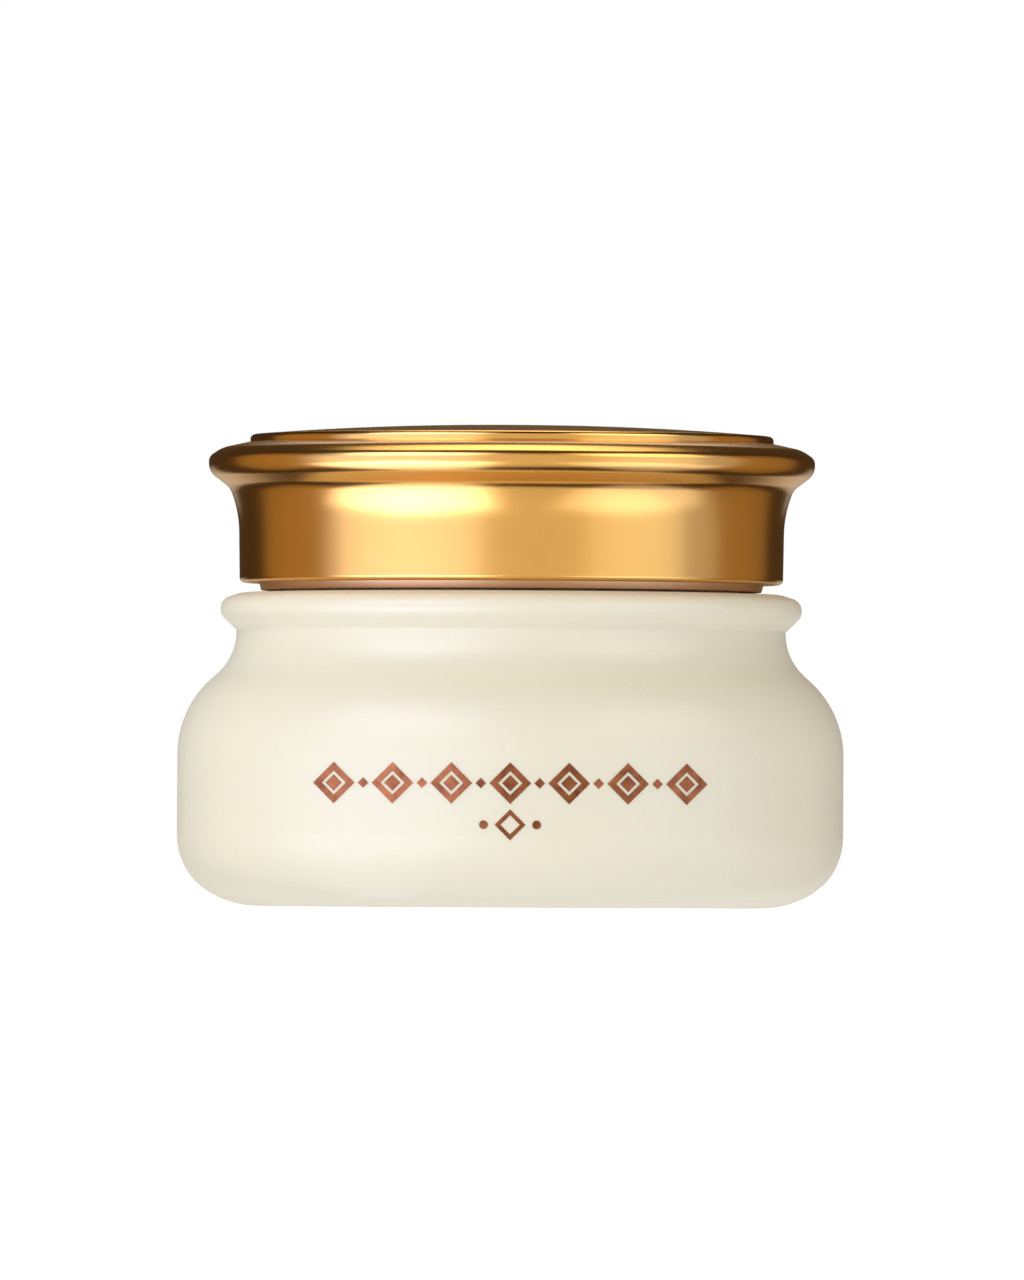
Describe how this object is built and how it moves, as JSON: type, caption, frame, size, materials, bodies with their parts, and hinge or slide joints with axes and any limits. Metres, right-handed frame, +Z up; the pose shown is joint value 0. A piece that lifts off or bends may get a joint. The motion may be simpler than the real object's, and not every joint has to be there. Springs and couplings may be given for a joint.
{
  "type": "cosmetic cream jar",
  "caption": "Squat round cosmetic cream jar of opal glass with a beaded shoulder, a threaded neck, a loose inner lid and a flared metal screw cap with a domed top.",
  "frame": {"origin": "centre of the ring that the jar stands on, at the level of the surface", "axes": "+Z up along the axis of the jar and its cap; the foil ornament faces -Y"},
  "size_m": [0.07, 0.0701, 0.0506],
  "materials": {
    "opal_glass": "gloss",
    "copper_foil": "satin",
    "label_paper": "matte",
    "cream": "satin",
    "lid_plastic": "satin",
    "liner_foam": "matte",
    "liner_film": "gloss",
    "cap_plastic": "satin",
    "gold_ring": "satin",
    "gold_shell": "satin",
    "adhesive": "matte",
    "gold_plate": "satin"
  },
  "bodies": {
    "jar": {"glass_jar": "opal_glass", "foil_ornament": "copper_foil", "base_label": "label_paper", "cream_fill": "cream"},
    "inner_lid": {"inner_lid": "lid_plastic"},
    "liner": {"liner_foam": "liner_foam", "liner_film": "liner_film"},
    "cap": {"cap_inner": "cap_plastic", "cap_base_ring": "gold_ring", "cap_shell": "gold_shell", "plate_adhesive_pad": "adhesive", "cap_top_plate": "gold_plate"}
  },
  "joints": [
    {"name": "cap_turn", "type": "hinge", "parent": "liner", "child": "cap", "pos_m": [0, 0, 0.04], "axis": [0, 0, 1], "range_deg": [0, 2160]},
    {"name": "cap_rise", "type": "slide", "parent": "jar", "child": "liner", "axis": [0, 0, 1], "range_m": [0, 0.0254]},
    {"name": "inner_lid_rise", "type": "slide", "parent": "jar", "child": "inner_lid", "axis": [0, 0, 1], "range_m": [0, 0.0089]}
  ],
  "couplings": [
    {"joint": "cap_rise", "follows": "cap_turn", "m_per_rad": 0.00067322},
    {"joint": "inner_lid_rise", "follows": "cap_turn", "m_per_rad": 0.00023563}
  ]
}
